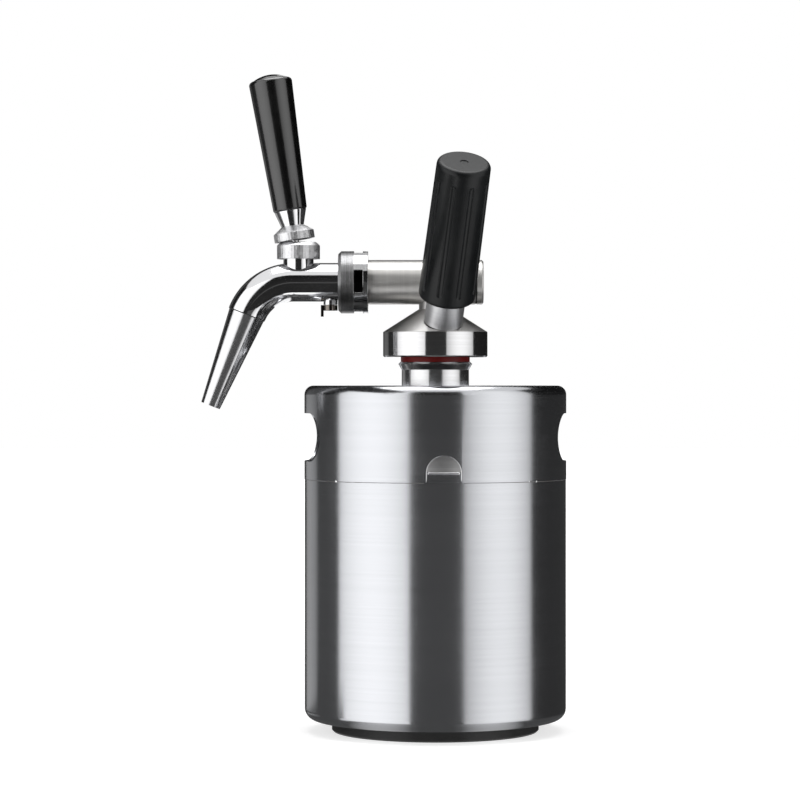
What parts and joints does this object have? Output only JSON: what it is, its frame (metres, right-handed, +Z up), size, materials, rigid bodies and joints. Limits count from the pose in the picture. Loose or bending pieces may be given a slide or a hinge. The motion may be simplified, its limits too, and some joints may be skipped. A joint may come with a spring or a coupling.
{
  "type": "nitro cold brew coffee keg",
  "caption": "Brushed steel mini keg with a windowed chime, a screw-on cone cap, a tilted gas cartridge holder and a lever tap with a long curved nozzle.",
  "frame": {"origin": "centre of the rubber foot's underside, on the keg's axis", "axes": "+Z up the keg's axis, -X towards the tap's nozzle, -Y towards the gas holder's side"},
  "size_m": [0.1818, 0.1352, 0.3268],
  "materials": {
    "rubber_black": "moulded, matte",
    "rubber_red": "moulded silicone",
    "steel_keg": "brushed round the keg",
    "steel_turned": "fine turned, bright",
    "steel_polished": "polished",
    "steel_inner": "plain drawn",
    "alloy_inner": "plain",
    "handle_black": "high gloss",
    "grip_black": "fine matte texture",
    "brass_insert": "turned",
    "polymer_white": "machined"
  },
  "bodies": {
    "keg": {"base_foot": "rubber_black", "keg_body": "steel_keg", "keg_dome": "steel_keg", "neck_ferrule": "steel_keg", "top_chime": "steel_keg"},
    "seal": {"cap_seal": "rubber_red"},
    "head": {"cap": "steel_turned", "dip_tube": "steel_inner", "dip_tube_grommet": "rubber_black", "riser_post": "steel_turned", "shank": "steel_turned", "end_plug": "steel_turned", "end_plug_seal": "rubber_black", "shank_washer": "rubber_black", "gas_port": "steel_turned", "port_seal": "rubber_black", "pierce_pin": "steel_inner", "cartridge_gasket": "rubber_red", "check_valve": "polymer_white"},
    "faucet": {"faucet_body": "steel_polished", "nozzle": "steel_polished", "nozzle_seal": "rubber_black", "restrictor_disc": "steel_inner", "flow_straightener": "polymer_white", "bonnet": "steel_polished", "ball_seat": "polymer_white", "friction_ring": "polymer_white", "flow_shaft_seal": "rubber_black"},
    "nut": {"coupling_nut": "steel_turned"},
    "handle": {"tap_lever": "steel_polished", "lever_collar": "steel_polished", "handle_ferrule": "steel_polished", "handle_insert": "brass_insert", "tap_handle": "handle_black"},
    "valve": {"plunger": "steel_inner", "seat_seal": "rubber_black"},
    "flow": {"flow_lever": "steel_polished"},
    "compensator": {"compensator": "polymer_white"},
    "cartridge": {"gas_cartridge": "steel_inner"},
    "holder": {"cartridge_sleeve": "alloy_inner", "grip_sleeve": "grip_black"}
  },
  "joints": [
    {"name": "head_rise", "type": "slide", "parent": "keg", "child": "seal", "axis": [0, 0, 1], "range_m": [0, 0.01201]},
    {"name": "head_turn", "type": "hinge", "parent": "seal", "child": "head", "pos_m": [0, 0, 0.186], "axis": [0, 0, 1], "range_deg": [0, 1440]},
    {"name": "holder_rise", "type": "slide", "parent": "head", "child": "cartridge", "axis": [0.1082, -0.4881, 0.866], "range_m": [0, 0.008]},
    {"name": "holder_turn", "type": "hinge", "parent": "cartridge", "child": "holder", "pos_m": [0.00379, -0.01709, 0.20391], "axis": [0.1082, -0.4881, 0.866], "range_deg": [0, 1440]},
    {"name": "faucet_withdraw", "type": "slide", "parent": "head", "child": "faucet", "axis": [-1, 0, 0], "range_m": [0, 0.00543]},
    {"name": "nut_turn", "type": "hinge", "parent": "faucet", "child": "nut", "pos_m": [-0.041, 0, 0.22327], "axis": [-1, 0, 0], "range_deg": [0, 1080]},
    {"name": "tap_pull", "type": "hinge", "parent": "faucet", "child": "handle", "pos_m": [-0.0682, 0, 0.23247], "axis": [0, -1, 0], "range_deg": [0, 20]},
    {"name": "valve_open", "type": "slide", "parent": "faucet", "child": "valve", "axis": [1, 0, 0], "range_m": [0, 0.00303]},
    {"name": "flow_turn", "type": "hinge", "parent": "faucet", "child": "flow", "pos_m": [-0.0522, 0, 0.21227], "axis": [0, 0, 1], "range_deg": [0, 80]},
    {"name": "compensator_move", "type": "slide", "parent": "faucet", "child": "compensator", "axis": [-1, 0, 0], "range_m": [0, 0.00103]}
  ],
  "couplings": [
    {"joint": "head_rise", "follows": "head_turn", "m_per_rad": 0.00047746},
    {"joint": "holder_turn", "follows": "holder_rise", "rad_per_m": 3141.6},
    {"joint": "nut_turn", "follows": "faucet_withdraw", "rad_per_m": 3471.4},
    {"joint": "valve_open", "follows": "tap_pull", "m_per_rad": 0.008665},
    {"joint": "flow_turn", "follows": "compensator_move", "rad_per_m": 1357.6}
  ]
}
